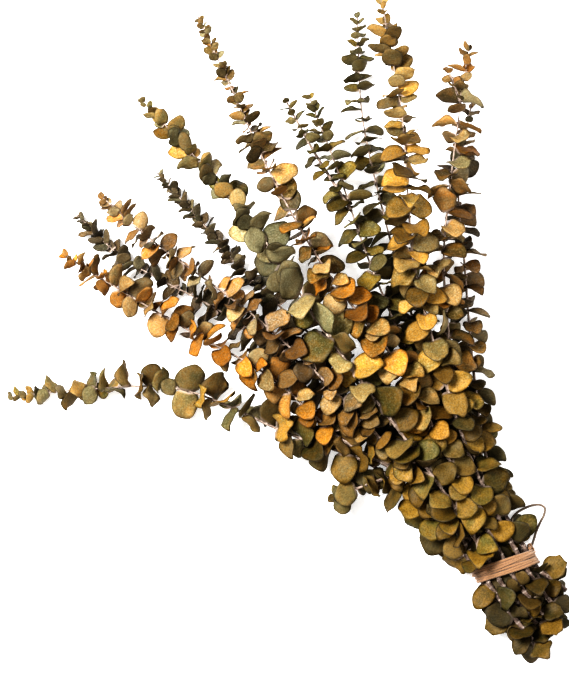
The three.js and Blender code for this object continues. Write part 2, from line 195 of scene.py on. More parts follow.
def linear(text):
    """The linear RGBA of an sRGB hex colour."""
    parts = [int(text[i:i + 2], 16) / 255 for i in (1, 3, 5)]
    return tuple(c / 12.92 if c <= 0.04045 else ((c + 0.055) / 1.055) ** 2.4 for c in parts) + (1.0,)


def colour_property(name, text, description):
    return bpy.props.FloatVectorProperty(
        name=name, description=description, subtype="COLOR", size=4, min=0, max=1, default=linear(text))


def number_property(name, description, default, low, high, **settings):
    return bpy.props.FloatProperty(
        name=name, description=description, default=default, min=low, max=high, **settings)


class FoliageSettings(bpy.types.PropertyGroup):
    thickness: number_property(
        "Leaf Thickness", "How thick a dried leaf is", 0.00045, 0.0002, 0.001, unit="LENGTH", precision=5)
    between: bpy.props.IntProperty(
        name="Pairs Between", description="Leaf pairs that grow between two pairs of the plain model",
        default=2, min=0, max=3)
    golden_olive: colour_property("Golden Olive", "#746B3B", "Round olive leaves")
    orange: colour_property("Orange", "#7A673A", "Leaves that dried orange")
    umber: colour_property("Umber", "#574B3B", "Small dark leaves at the back")
    pinkish_brown: colour_property("Pinkish Brown", "#7A6A54", "Dusky leaves")
    olive: colour_property("Olive", "#5E562D", "Dark green leaves")
    tan: colour_property("Tan", "#887444", "Pale golden leaves")
    bark: colour_property("Bark", "#7C6A5F", "Bark of the stems")


class TwineSettings(bpy.types.PropertyGroup):
    diameter: number_property(
        "Diameter", "How thick the jute twine is", 0.002, 0.001, 0.004, unit="LENGTH", precision=4)
    turns: number_property("Turns", "How often the twine goes round the stems", 6.1, 1, 12)
    twist: number_property(
        "Twist Length", "Length of twine over which its plies turn once", 0.0054, 0.002, 0.02,
        unit="LENGTH", precision=4)
    colour: colour_property("Jute", "#A88362", "Colour of the jute fibre")
    # The free loop is the tie's twine, with its jute darkened and greyed as painted shade
    shaded_loop: colour_property("Shaded Loop Jute", "#806F61", "Colour of the free loop")


class StudioSettings(bpy.types.PropertyGroup):
    key: number_property("Key Light", "Strength of the large soft light", 60, 0, 500, subtype="POWER")
    fill: number_property("Fill Light", "Strength of the light overhead", 6.5, 0, 500, subtype="POWER")
    side: number_property(
        "Side Light", "Strength of the low light from the right", 8, 0, 500, subtype="POWER")
    ambient: number_property("Ambient", "Strength of the light from all round", 0.055, 0, 5)


def unit(vector):
    return vector / np.linalg.norm(vector)


def mix(low, high, share):
    return low + (high - low) * share


def smooth(value):
    share = min(max(value, 0.0), 1.0)
    return share * share * (3 - 2 * share)


def stream(seed):
    """A repeatable stream of numbers from 0 to 1. The first four, which follow the seed closely, are left
    out."""
    state = seed
    for drawn in itertools.count():
        state = state * 16807 % 2147483647
        if drawn > 3:
            yield state / 2147483647


class Course:
    """A smooth curve through points, read by share of its length."""

    DIVISIONS = 200

    def __init__(self, points):
        self.points = [np.array(p, float) for p in points]
        self.ts = np.linspace(0, 1, self.DIVISIONS + 1)
        table = [self.at(t) for t in self.ts]
        steps = [np.linalg.norm(b - a) for a, b in zip(table, table[1:])]
        self.lengths = np.concatenate(([0], np.cumsum(steps)))
        self.length = self.lengths[-1]

    def at(self, t):
        points = self.points
        place = (len(points) - 1) * t
        index = min(int(place), len(points) - 2)
        weight = place - index
        b, c = points[index], points[index + 1]
        a = points[index - 1] if index > 0 else 2 * points[0] - points[1]
        d = points[index + 2] if index + 2 < len(points) else 2 * points[-1] - points[-2]
        ab, bc, cd = (np.linalg.norm(q - p) ** 0.5 for p, q in ((a, b), (b, c), (c, d)))
        start = ((b - a) / ab - (c - a) / (ab + bc) + (c - b) / bc) * bc
        finish = ((c - b) / bc - (d - b) / (bc + cd) + (d - c) / cd) * bc
        square = -3 * b + 3 * c - 2 * start - finish
        cube = 2 * b - 2 * c + start + finish
        return b + start * weight + square * weight ** 2 + cube * weight ** 3

    def point(self, share):
        return self.at(float(np.interp(share * self.length, self.lengths, self.ts)))

    def tangent(self, share):
        t = float(np.interp(share * self.length, self.lengths, self.ts))
        return unit(self.at(min(t + 0.0001, 1)) - self.at(max(t - 0.0001, 0)))


def slot_place(slot):
    """Where a stem passes through the tie, as (x, z)."""
    if isinstance(slot, tuple):
        return slot
    angle = math.radians(slot)
    x = SLOT["half_width"] * math.cos(angle)
    return x, TIE["centre_z"] + SLOT["half_height"] * math.sin(angle)


def stem_radius(length):
    def radius(share):
        along = share * length
        if along < STEM["full_until"]:
            return mix(STEM["cut_radius"], STEM["radius"], along / STEM["full_until"])
        left = max((length - along) / (length - STEM["full_until"]), 0)
        return mix(STEM["tip_radius"], STEM["radius"], left ** STEM["taper"])
    return radius


def branches():
    """Every stem and side shoot: its curve, radius, leaf sizes and seed."""
    made = []
    for index, (number, stem) in enumerate(STEMS.items()):
        x, z = slot_place(stem["slot"])
        through = [(x, y, z) for y in (-SLOT["straight"], 0, SLOT["straight"])]
        course = Course([stem["end"], *through, *stem["route"]])
        seed = SEED["stem"] * (index + 1)
        made.append({
            "number": number, "stem": stem, "course": course, "radius": stem_radius(course.length),
            "longest": stem["longest"], "grow_over": stem["grow_over"], "seed": seed,
        })
        if "shoot" in stem:
            shoot = stem["shoot"]
            course = Course([course.point(shoot["at"]), *shoot["route"]])
            made.append({
                "number": number, "stem": stem, "course": course, "seed": seed + SEED["shoot"],
                "radius": partial(mix, SHOOT["radius"], SHOOT["tip_radius"]),
                "longest": shoot["longest"], "grow_over": SHOOT["leaves_grow_over"] * course.length,
            })
    return made


def plain_leaf(branch, from_tip, root_y):
    """How full grown a leaf is, and its size on the plain model."""
    grown = min(1, from_tip / branch["grow_over"])
    if root_y < 0:
        return grown, LEAF["end"]
    return grown, mix(LEAF["tip"], branch["longest"], math.sin(grown * math.pi / 2))


def pair_places(branch, between):
    """Each leaf pair down a branch as (pair number, share of the way to the next, distance from the tip).
    The share is nought for a pair of the plain model."""
    length = branch["course"].length
    from_tip = LEAF["first_pair"]
    pair = 0
    places = []
    while from_tip < length - LEAF["last_pair"]:
        root_y = branch["course"].point(1 - from_tip / length)[1]
        step = LEAF["pitch"] * plain_leaf(branch, from_tip, root_y)[1] + LEAF["pitch_base"]
        parts = between + 1 + (FINE["more_at_end"] if root_y < 0 else branch["stem"].get("more", 0))
        places += [(pair, part / parts, from_tip + step * part / parts) for part in range(parts)]
        from_tip += step
        pair += 1
    return [place for place in places if place[2] < length - LEAF["last_pair"]]


def leaf_plan(branch, pair, part, from_tip, side):
    """One leaf as it would grow with nothing in its way."""
    course, stem = branch["course"], branch["stem"]
    share = 1 - from_tip / course.length
    root = course.point(share)
    grown, size = plain_leaf(branch, from_tip, root[1])
    low = 1 - smooth((root[1] - LOW["all"]) / (LOW["none"] - LOW["all"]))
    for least, slope in stem.get("least", ()):
        size = max(size, min(least, slope * from_tip))
    size = min(size, mix(size, LOW["longest"], low), stem.get("most", size))
    droop = DROOP["angle"] * smooth((DROOP["none"] - root[1]) / (DROOP["none"] - DROOP["full"]))
    step = round(part * SEED["parts"]) * SEED["between"]
    numbers = stream(branch["seed"] + pair * SEED["pair"] + side * SEED["side"] + step)

    def draw(name):
        return mix(*SPREAD[name], next(numbers))

    plan = {"root": root, "radius": branch["radius"](share), "along": course.tangent(share), "low": low}
    plan["open"] = mix(OPEN_AT_TIP, stem["open"], grown) + droop + draw("open")
    plan["azimuth"] = branch["seed"] + (pair + part) * LEAF["turn"] + side * 180 + draw("azimuth")
    plan["length"] = size * draw("length")
    plan["width"] = plan["length"] * stem["width"] * draw("width") * mix(NARROW_TIP_LEAF, 1, grown)
    for name in ("twist", "arch", "cup", "face", "fold", "wave"):
        plan[name] = draw(name)
    turned = mix(stem.get("turned", FINE["turned"]), 1, low) if part else 1
    plan["face"] = stem["face"] * plan["face"] * turned
    plan["phase"] = 2 * math.pi * next(numbers)
    spread = FINE["warm_spread"] * (next(numbers) - 0.5)
    plan["warm"] = mix(*stem["warm"], from_tip / course.length) + spread
    plan["shade"] = next(numbers) * (1 if root[1] > 0 else 1 - LOW["darker_below_tie"])
    some = max(1 - (1 - next(numbers)) / FINE["bloomed"], 0) * (1 - LOW["less_bloom"] * low)
    first, last = stem.get("bloom", (math.inf, math.inf))
    plan["bloom"] = max(some, 1 - max(first - from_tip, from_tip - last, 0) / FINE["bloom_edge"])
    plan["torn"] = root[1] < FINE["torn_below"] and next(numbers) < FINE["torn_share"]
    return plan


def leaf_choices(plan):
    """The ways a leaf may stand, the likeliest first: each next one closes up to the stem, turns its face
    further to the sky and swings round the stem. After that a smaller leaf tries, and swings wider."""
    for k, size in [(k, size) for size in (1, RETRY["smaller"]) for k in range(RETRY["times"])]:
        opening = math.radians(plan["open"] * (1 - RETRY["close_by"] * k))
        swing = (-1 if k % 2 else 1) * math.ceil(k / 2) * RETRY["swing"] / size
        angle = math.radians(plan["azimuth"] + swing)
        along = plan["along"]
        right = unit(np.cross(along, UP))
        outward = right * math.cos(angle) + np.cross(right, along) * math.sin(angle)
        root = plan["root"] + outward * plan["radius"] * (1 - LEAF["root_depth"])
        axis = along * math.cos(opening) + outward * math.sin(opening)
        natural = unit(along - np.dot(along, axis) * axis)
        skyward = unit(UP - axis[2] * axis)
        if np.dot(natural, skyward) < 0:
            skyward = -skyward
        turn = math.atan2(np.dot(axis, np.cross(natural, skyward)), np.dot(natural, skyward))
        turned = turn * min(1, plan["face"] + RETRY["face_up"] * k) + math.radians(plan["twist"])
        face = natural * math.cos(turned) + np.cross(axis, natural) * math.sin(turned)
        yield {**plan, "root": root, "axis": axis, "face": face,
               "length": plan["length"] * size, "width": plan["width"] * size}


class LeafGrid:
    """The plan of a leaf: a small grid drawn out to the leaf's outline."""

    SIDE = 7
    # A torn tip: how far up the blade it starts, how many teeth it has, and how long and deep they are
    TORN = {"from": 0.55, "teeth": 3.3, "least": 0.87, "depth": 0.15}

    def __init__(self):
        place = np.arange(self.SIDE ** 2)
        s = 2 * (place % self.SIDE) / (self.SIDE - 1) - 1
        t = 2 * (place // self.SIDE) / (self.SIDE - 1) - 1
        across = s * np.sqrt(1 - t * t / 2)
        along = t * np.sqrt(1 - s * s / 2)
        self.rim = np.maximum(np.abs(s), np.abs(t)) > 0.999
        self.reach = np.minimum(np.hypot(across, along), 1)
        self.turn = np.arctan2(across, along)
        self.across = across / 2 * (1 - FINE["broad_base"] * along)
        point = FINE["point"] * np.clip((along - 0.7) / 0.3, 0, 1) ** 2
        lobes = FINE["lobes"] * np.clip((-along - 0.4) / 0.6, 0, 1) * np.abs(across) * 2
        self.u = (along + 1) / 2 + point - lobes
        self.faces = [(i, i + 1, i + self.SIDE + 1, i + self.SIDE)
                      for i in range(self.SIDE * (self.SIDE - 1)) if (i + 1) % self.SIDE]

    def points(self, leaf, thickness):
        """The leaf's vertices in millimetres, in the order of the grid."""
        u, across = self.u, self.across
        length, width = leaf["length"], leaf["width"]
        wave = np.sin(3 * self.turn + leaf["phase"]) + 0.6 * np.sin(5 * self.turn - 2 * leaf["phase"])
        rise = (-leaf["arch"] * length * u ** 2 + 4 * leaf["cup"] * width * across ** 2
                + leaf["fold"] * width * np.abs(across) + leaf["wave"] * width * wave * self.reach ** 3)
        if leaf["torn"]:
            ragged = self.rim & (u > self.TORN["from"])
            tooth = 1 - np.abs(np.sin(self.TORN["teeth"] * self.turn + leaf["phase"])) ** 0.6
            u = np.where(ragged, u * (self.TORN["least"] + self.TORN["depth"] * tooth), u)
        side = np.cross(leaf["axis"], leaf["face"])
        points = (leaf["root"] + np.outer(u * length, leaf["axis"]) + np.outer(across * width, side)
                  + np.outer(rise, leaf["face"]))
        points[:, 2] = np.maximum(points[:, 2], thickness)
        return points


class Space:
    """What has been placed, for keeping each new leaf clear of it."""

    def __init__(self):
        self.trees = []
        self.owners = []
        self.low = np.zeros((0, 3))
        self.high = np.zeros((0, 3))
        self.is_leaf = np.zeros(0, bool)

    def add(self, points, faces, owner, is_leaf):
        self.trees.append(BVHTree.FromPolygons([tuple(p) for p in points], faces))
        self.owners.append(owner)
        self.low = np.vstack((self.low, points.min(axis=0)))
        self.high = np.vstack((self.high, points.max(axis=0)))
        self.is_leaf = np.append(self.is_leaf, is_leaf)

    def meets(self, points, faces, owner):
        near = np.all((self.low < points.max(axis=0)) & (points.min(axis=0) < self.high), axis=1)
        tree = None
        for index in np.flatnonzero(near):
            if self.owners[index] == owner and not self.is_leaf[index]:
                continue
            tree = tree or BVHTree.FromPolygons([tuple(p) for p in points], faces)
            if tree.overlap(self.trees[index]):
                return True
        return False


def running_length(points):
    """The length of a line of points up to each of them."""
    return np.concatenate(([0], np.cumsum(np.linalg.norm(np.diff(points, axis=0), axis=1))))


def tube_rings(points, radii, sides):
    """The rings of a tube along points, without a twist, in one array."""
    points = np.array(points)
    steps = np.gradient(points, axis=0)
    rings = []
    normal = unit(np.cross(steps[0], UP if abs(unit(steps[0])[2]) < 0.9 else np.array((1.0, 0, 0))))
    for point, step, radius in zip(points, steps, radii):
        along = unit(step)
        normal = unit(normal - np.dot(normal, along) * along)
        other = np.cross(along, normal)
        angles = 2 * np.pi * np.arange(sides) / sides
        size = radius(angles) if callable(radius) else radius * np.ones(sides)
        rings.append(point + np.outer(np.cos(angles) * size, normal) + np.outer(np.sin(angles) * size, other))
    return np.array(rings)


def sweep(bm, rings, values=None):
    """A closed tube over rings of points in millimetres: a capped circle extruded ring by ring. values
    gives each vertex attribute its value as a function of ring and side."""
    sides = len(rings[0])
    layers = {name: bm.verts.layers.float.get(name) or bm.verts.layers.float.new(name)
              for name in (values or {})}
    uv_layer = bm.loops.layers.uv.get("UVMap") or bm.loops.layers.uv.new("UVMap")
    ring = list(bmesh.ops.create_circle(bm, cap_ends=True, segments=sides, radius=MM)["verts"])
    edges = list({edge for vert in ring for edge in vert.link_edges})
    places = {}
    for index, centre in enumerate(rings):
        if index:
            grown = bmesh.ops.extrude_edge_only(bm, edges=edges)["geom"]
            old = {v: i for i, v in enumerate(ring)}
            ring = [None] * sides
            for vert in (g for g in grown if isinstance(g, bmesh.types.BMVert)):
                for edge in vert.link_edges:
                    if edge.other_vert(vert) in old:
                        ring[old[edge.other_vert(vert)]] = vert
            fresh = set(ring)
            edges = [g for g in grown if isinstance(g, bmesh.types.BMEdge)
                     and g.verts[0] in fresh and g.verts[1] in fresh]
        for side, vert in enumerate(ring):
            vert.co = Vector(centre[side]) * MM
            places[vert] = (side / sides, index)
            for name, layer in layers.items():
                vert[layer] = values[name](index, side)
    bmesh.ops.edgeloop_fill(bm, edges=edges)
    faces = {face for vert in places for face in vert.link_faces}
    lengths = running_length(np.mean(rings, axis=1))
    for face in faces:
        face.smooth = len(face.verts) == 4
        rounds = [places[loop.vert][0] for loop in face.loops]
        for loop, around in zip(face.loops, rounds):
            wrapped = around + 1 if max(rounds) - around > 0.5 else around
            loop[uv_layer].uv = (wrapped, lengths[places[loop.vert][1]] * MM)
    bmesh.ops.recalc_face_normals(bm, faces=list(faces))


def add_object(name, data):
    made = bpy.data.objects.new(name, data)
    bpy.context.scene.collection.objects.link(made)
    return made


def mesh_object(bm, name, materials):
    mesh = bpy.data.meshes.new(name)
    bm.to_mesh(mesh)
    bm.free()
    for material in materials:
        mesh.materials.append(material)
    return add_object(name, mesh)


def to_piece(bm, name, materials, node):
    """The finished bmesh as a piece that rides on the bunch and stands for its plain node."""
    piece = mesh_object(bm, name, materials)
    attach(piece, "root")
    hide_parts(node)
    return piece


def feed(node, inputs):
    """Gives a node's inputs their values, hex colours or sockets."""
    for name, value in inputs.items():
        if isinstance(value, bpy.types.NodeSocket):
            node.id_data.links.new(value, node.inputs[name])
        else:
            node.inputs[name].default_value = linear(value) if isinstance(value, str) else value


def add_node(tree, kind, inputs=None, output=0, **settings):
    """Adds a shader node with its own settings, feeds its inputs and gives one of its outputs."""
    made = tree.nodes.new("ShaderNode" + kind)
    for name, value in settings.items():
        setattr(made, name, value)
    feed(made, inputs or {})
    return made.outputs[output]


def new_material(name):
    """A new material, the function that adds a node to it, and its shader."""
    material = bpy.data.materials.new(name)
    material.use_nodes = True
    tree = material.node_tree
    return material, partial(add_node, tree), tree.nodes["Principled BSDF"]


def tinted(add, colour, *tints):
    """A colour with tints laid over it in turn, each as (where it lies, how strongly, the tint)."""
    for place, strength, tint in tints:
        share = add("Math", {0: place, 1: strength}, operation="MULTIPLY")
        colour = add("Mix", {0: share, 6: colour, 7: tint}, 2, data_type="RGBA")
    return colour


def streaks(add, across, length, roughness, low, high, lean=0.0):
    """Streaks along a strand: how many lie across it, their length, and the part of the noise that shows.
    Gives the noise and its share from 0 to 1."""
    places = add("Mapping", {"Vector": add("UVMap", uv_map="UVMap"), "Rotation": (0, 0, lean),
                             "Scale": (across, 1 / (length * MM), 1.0)})
    noise = add("TexNoise", {"Vector": places, "Scale": 1.0, "Detail": 4.0, "Roughness": roughness})
    return noise, add("MapRange", {"Value": noise, "From Min": low, "From Max": high})


# What each leaf's vertices say: how near the edge they are, and the leaf's own warmth, lightness with the
# painted shade inside the bunch, place and bloom
LEAF_LAYERS = ("rim", "warm", "shade", "low", "bloom")
VEINS = {"fan": 21.0, "from": 0.08, "wander": 1.4, "fine": 9.0, "seen": 0.07, "seen_underside": 0.14}


def leaf_material(finish, main, underside):
    """Air-dried, glycerine-kept eucalyptus leaf: a satin skin that turns from olive to orange in soft
    patches, with a dense pale and dark grain, fine veins that fan out from the root, and a bone-pale root.
    The underside is duller and greyer, with the same veins standing out."""
    material, add, shader = new_material(f"dried_leaf_{finish}" + ("_underside" if underside else ""))
    warm_colour, pale_colour, dark_colour = FINISH[finish]
    coords = add("TexCoord", output="Object")
    across = add("SeparateXYZ", {"Vector": add("UVMap", uv_map="UVMap")})
    along = across.node.outputs["Y"]
    rim, warm, shade, low, bloom = (
        add("Attribute", output="Fac", attribute_name=layer) for layer in LEAF_LAYERS)

    def grain(size, start, full, detail=2.0):
        noise = add("TexNoise", {
            "Vector": coords, "Scale": 1 / (size * MM), "Detail": detail, "Roughness": 0.62})
        return add("MapRange", {"Value": noise, "From Min": start, "From Max": full})

    # Olive to orange in patches about as wide as half a leaf, warmer towards the tip of the blade
    patches = grain(9, 0.3, 0.7, 3.0)
    warmth = add("Math", {0: along, 1: 0.3, 2: warm}, operation="MULTIPLY_ADD")
    warmth = add("Math", {0: patches, 1: warmth}, operation="ADD")
    warmth = add("MapRange", {"Value": warmth, "From Min": 0.5, "From Max": 1.6})
    olive, orange = (
        add("Mix", {0: low, 6: own, 7: alike}, 2, data_type="RGBA")
        for own, alike in zip((main, warm_colour), LOW_FINISH))

    # Grain of dried oil glands. It is finer than a tenth of a millimetre on the leaf, and drawn about a
    # millimetre wide so that it shows. It is paler where a leaf kept its waxy bloom, a dull grey-green
    dark_grain = grain(1.2, 0.54, 0.42)
    pale_grain = grain(1.4, 0.53, 0.64)
    dusty = add("Math", {0: low, 1: -0.34, 2: 0.48}, operation="MULTIPLY_ADD")
    dusty = add("Math", {0: bloom, 1: 0.1, 2: dusty}, operation="MULTIPLY_ADD")
    pale = add("Mix", {0: bloom, 6: pale_colour, 7: "#BCB89A"}, 2, data_type="RGBA")

    # Veins fan out from the root and end before the edge
    side = add("Math", {0: across, 1: 0.5}, operation="SUBTRACT")
    ahead = add("Math", {0: along, 1: VEINS["from"]}, operation="ADD")
    angle = add("Math", {0: side, 1: ahead}, operation="ARCTAN2")
    veins = add("Math", {0: angle, 1: VEINS["fan"]}, operation="MULTIPLY")
    veins = add("Math", {0: patches, 1: VEINS["wander"], 2: veins}, operation="MULTIPLY_ADD")
    for operation in ("COSINE", "ABSOLUTE"):
        veins = add("Math", {0: veins}, operation=operation)
    veins = add("Math", {0: veins, 1: VEINS["fine"]}, operation="POWER")
    inner = add("Math", {0: 1.0, 1: rim}, operation="SUBTRACT")
    veins = add("Math", {0: veins, 1: inner}, operation="MULTIPLY")

    # The dark edge is partly the darker dried rim of a leaf and partly painted shade that outlines each leaf
    edge = add("Math", {0: rim, 1: 3.0}, operation="POWER")
    root = add("MapRange", {"Value": along, "From Min": 0.09, "From Max": 0.02})
    tints = [
        (warmth, 1.0, orange), (bloom, 0.6, "#A29E7E"), (dark_grain, 0.36, dark_colour),
        (pale_grain, dusty, pale), (veins, VEINS["seen_underside" if underside else "seen"], pale_colour),
        (edge, 0.75, dark_colour), (root, 0.6, "#D9C4B8")]
    if underside:
        tints.append((1.0, 0.35, "#857A62"))
    colour = tinted(add, olive, *tints)

    # Leaves differ in lightness, which also carries the painted shade of leaves inside the bunch, and those
    # low down are a little darker
    light = add("MapRange", {"Value": shade, "To Min": 0.3, "To Max": 1.07})
    darker = add("Math", {0: low, 1: -0.1, 2: 1.0}, operation="MULTIPLY_ADD")
    light = add("Math", {0: light, 1: darker}, operation="MULTIPLY")
    toned = add("HueSaturation", {"Color": colour, "Value": light, "Saturation": 1.02})

    height = add("Math", {0: pale_grain, 1: 0.22}, operation="MULTIPLY")
    height = add("Math", {0: veins, 1: 0.35, 2: height}, operation="MULTIPLY_ADD")
    bump = add("Bump", {"Height": height, "Strength": 0.4, "Distance": 0.25 * MM})
    feed(shader, {"Base Color": toned, "Normal": bump, "Roughness": 0.68 if underside else 0.6,
                  "IOR": 1.42, "Specular IOR Level": 0.3})
    return material


def bark_material(bark):
    """Thin dry eucalyptus bark, grey-pink and finely grooved along the stem, bleached bone-white where
    each pair of leaves joins it, and paler where the stem is slender."""
    material, add, shader = new_material("dry_eucalyptus_bark")
    noise, share = streaks(add, 4.0, 5, 0.7, 0.4, 0.62)
    joint, slender = (
        add("Attribute", output="Fac", attribute_name=layer) for layer in ("joint", "slender"))
    patchy = add("Math", {0: share, 1: 0.6}, operation="MULTIPLY")
    colour = tinted(
        add, "#3B2D26", (share, 1.0, bark), (slender, share, "#B5A497"), (joint, patchy, "#E0D2C6"))
    bump = add("Bump", {"Height": noise, "Strength": 0.6, "Distance": 0.3 * MM})
    feed(shader, {"Base Color": colour, "Normal": bump, "Roughness": 0.8})
    return material


def cut_wood_material():
    """Fresh-cut end grain: pale straw wood, matt and flecked."""
    material, add, shader = new_material("cut_stem_end_grain")
    noise = add("TexNoise", {
        "Vector": add("TexCoord", output="Object"), "Scale": 1 / (0.6 * MM), "Detail": 3.0})
    feed(shader, {"Base Color": tinted(add, "#8E7352", (noise, 1.0, "#D8C19A")), "Roughness": 0.9})
    return material


def jute_material(name, jute, dull, deep):
    """Three-ply jute twine: matt straw-tan fibre streaked along the twist, with painted shade in the grooves
    between the plies that leaves the hairy crowns lighter. The free loop's copy is darker and greyer as
    painted shade."""
    material, add, shader = new_material(name)
    fibres, share = streaks(add, 9.0, 3, 0.75, 0.3, 0.7, lean=0.003)
    groove = add("Attribute", output="Fac", attribute_name="groove")
    bump = add("Bump", {"Height": fibres, "Strength": 0.8, "Distance": 0.25 * MM})
    # The groove tint is painted shade between the plies
    feed(shader, {"Base Color": tinted(add, dull, (share, 1.0, jute), (groove, 0.85, deep)), "Normal": bump,
                  "Roughness": 0.92, "Sheen Weight": 0.3})
    return material


# Twine: its plies, how deep the grooves between them are, and how finely it is drawn round and along
PLIES = 3
PLY_DEPTH = 0.26
TWINE_SIDES = 12
TWINE_STEP = 0.6


def lobe(angle):
    """One at the crown of a ply and nought in the groove between two."""
    return np.abs(np.cos(PLIES * angle / 2)) ** 0.7


def lay_twine(bm, points, radius, twist):
    """A laid twine along points: its section has one lobe for each ply and turns along its length."""
    turns = 2 * np.pi * running_length(points) / twist

    def section(turn):
        return lambda angles: radius * (1 - PLY_DEPTH * (1 - lobe(angles - turn)))

    sweep(bm, tube_rings(points, [section(turn) for turn in turns], TWINE_SIDES), {
        "groove": lambda ring, side: float(1 - lobe(2 * np.pi * side / TWINE_SIDES - turns[ring]))})


class EUCALYPTUS_OT_set_camera(bpy.types.Operator):
    """Puts the camera straight above the bunch, turned so that the tie is at the lower right"""

    bl_idname = "eucalyptus.set_camera"
    bl_label = "Set Camera"

    # The middle of the picture on the floor, the long side that it covers, and the camera's distance
    CENTRE = (-59.3, 229.5)
    COVERS = 519.1
    DISTANCE = 3500
    TURN = -30
    CLIP_END = 20

    def execute(self, context):
        data = bpy.data.cameras.new("camera")
        data.lens = data.sensor_width * self.DISTANCE / self.COVERS
        data.clip_end = self.CLIP_END
        camera = add_object("camera", data)
        camera.location = Vector((*self.CENTRE, self.DISTANCE)) * MM
        camera.rotation_euler = (0, 0, math.radians(self.TURN))
        context.scene.camera = camera
        return {"FINISHED"}


class EUCALYPTUS_OT_lay_loop(bpy.types.Operator):
    """Lays the free loop of twine that comes out of the knot"""

    bl_idname = "eucalyptus.lay_loop"
    bl_label = "Lay Twine Loop"

    def execute(self, context):
        settings = context.scene.eucalyptus_twine
        course = Course(LOOP_ROUTE)
        count = round(course.length / TWINE_STEP)
        points = np.array([course.point(i / count) for i in range(count + 1)])
        bm = bmesh.new()
        lay_twine(bm, points, settings.diameter / MM / 2, settings.twist / MM)
        # The loop's copy of the jute, with its fibre, streak and groove colours darker and greyer as painted
        # shade
        fibre = jute_material("weathered_jute_fibre", settings.shaded_loop, "#6F6154", "#453A31")
        piece = to_piece(bm, "free_twine_loop", [fibre], "twine_loop")
        path = [tuple(p * MM) for p in points]
        length = sum(math.dist(a, b) for a, b in zip(path, path[1:]))
        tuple(path[0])
        return {"FINISHED"}


class EUCALYPTUS_OT_wind_tie(bpy.types.Operator):
    """Winds the jute twine round the stems, with two slanting turns over the first ones and a knot"""

    bl_idname = "eucalyptus.wind_tie"
    bl_label = "Wind Tie"

    # How wide the wound strands are pressed, how wide they lie side by side, and the angle they start at
    PRESSED = 1.2
    BAND = 14.4
    START = -0.4
    # The turns over them, which lie further out, between these places from the band's two edges
    OVER = {"turns": 1.6, "lift": 1.35, "start": 2.2, "from": 0.6, "to": 3.6, "thick": 0.95}
    # How far each waver of the strands goes, and how often round
    WAVER = {"out": (0.25, 2.3), "along": (0.3, 1.31), "fine": (0.2, 3.7)}
    KNOT = {"centre": (24.1, 1.0, 10.5), "size": 2.1, "thick": 0.9, "steps": 72, "open": 3}
    HAIRS = {"count": 260, "length": (1.2, 3.4), "radius": 0.07, "seed": 4241}

    def wound(self, turns, lift, start_y, end_y, start, radius):
        """Points round the oval from start_y to end_y, pressed flat on the surface."""
        count = round(turns * 2 * math.pi * (TIE["half_width"] + TIE["half_height"]) / 2 / TWINE_STEP)
        share = np.arange(count + 1) / count
        angle = start + 2 * math.pi * turns * share
        sway, along, fine = (
            size * np.sin(often * angle + (name == "out")) for name, (size, often) in self.WAVER.items())
        out = radius + lift + sway * (1 if lift else 0.5)
        y = mix(start_y, end_y, share) + along + fine
        x = (TIE["half_width"] + out) * np.cos(angle)
        z = TIE["centre_z"] + (TIE["half_height"] + out) * np.sin(angle)
        return np.stack((x, y + TIE["slant"] * x, np.maximum(z, radius)), axis=1)

    def knot(self):
        """A small overhand knot at the right of the tie."""
        steps = self.KNOT["steps"]
        angle = 2 * math.pi * np.arange(steps - self.KNOT["open"]) / steps
        return np.array(self.KNOT["centre"]) + self.KNOT["size"] * np.stack((
            0.6 * np.sin(3 * angle), (np.sin(angle) + 0.9 * np.sin(2 * angle)) / 1.3,
            (np.cos(angle) - 0.9 * np.cos(2 * angle)) / 1.3), axis=1)

    def add_hairs(self, bm, points, radius):
        """Loose jute fibres that stand off the twine, each a fine bent tube."""
        numbers = stream(self.HAIRS["seed"])
        thick = self.HAIRS["radius"]
        for _ in range(self.HAIRS["count"]):
            place = int(next(numbers) * (len(points) - 2))
            along = unit(points[place + 1] - points[place])
            turn = 2 * math.pi * next(numbers)
            right = unit(np.cross(along, UP + 0.01))
            out = right * math.cos(turn) + np.cross(right, along) * math.sin(turn)
            length = mix(*self.HAIRS["length"], next(numbers))
            lean = along * (2 * next(numbers) - 1)
            bend = np.cross(along, out) * (next(numbers) - 0.5)
            hair = [points[place] + out * (0.9 * radius + length * s) + (lean + bend * s) * length * s
                    for s in (0.0, 0.5, 1.0)]
            if min(point[2] for point in hair) > thick:
                rings = tube_rings(hair, (thick, thick, 0.3 * thick), 3)
                sweep(bm, rings, {"groove": lambda ring, side: 0.0})

    def execute(self, context):
        settings = context.scene.eucalyptus_twine
        radius = settings.diameter / MM / 2
        twist = settings.twist / MM
        half = self.BAND / 2 - radius
        bm = bmesh.new()
        wound = self.wound(settings.turns, 0, -half, half, self.START, radius)
        lay_twine(bm, wound, radius * self.PRESSED, twist)
        self.add_hairs(bm, wound, radius)
        over = self.OVER
        crossing = self.wound(
            over["turns"], over["lift"], half - over["from"], over["to"] - half, over["start"], radius)
        lay_twine(bm, crossing, radius * over["thick"], twist)
        lay_twine(bm, self.knot(), radius * self.KNOT["thick"], twist)
        # The third colour is painted shade in the grooves between the plies
        fibre = jute_material("jute_twine_fibre", settings.colour, "#93765A", "#5C3D26")
        to_piece(bm, "jute_tie", [fibre], "twine_tie")
        return {"FINISHED"}


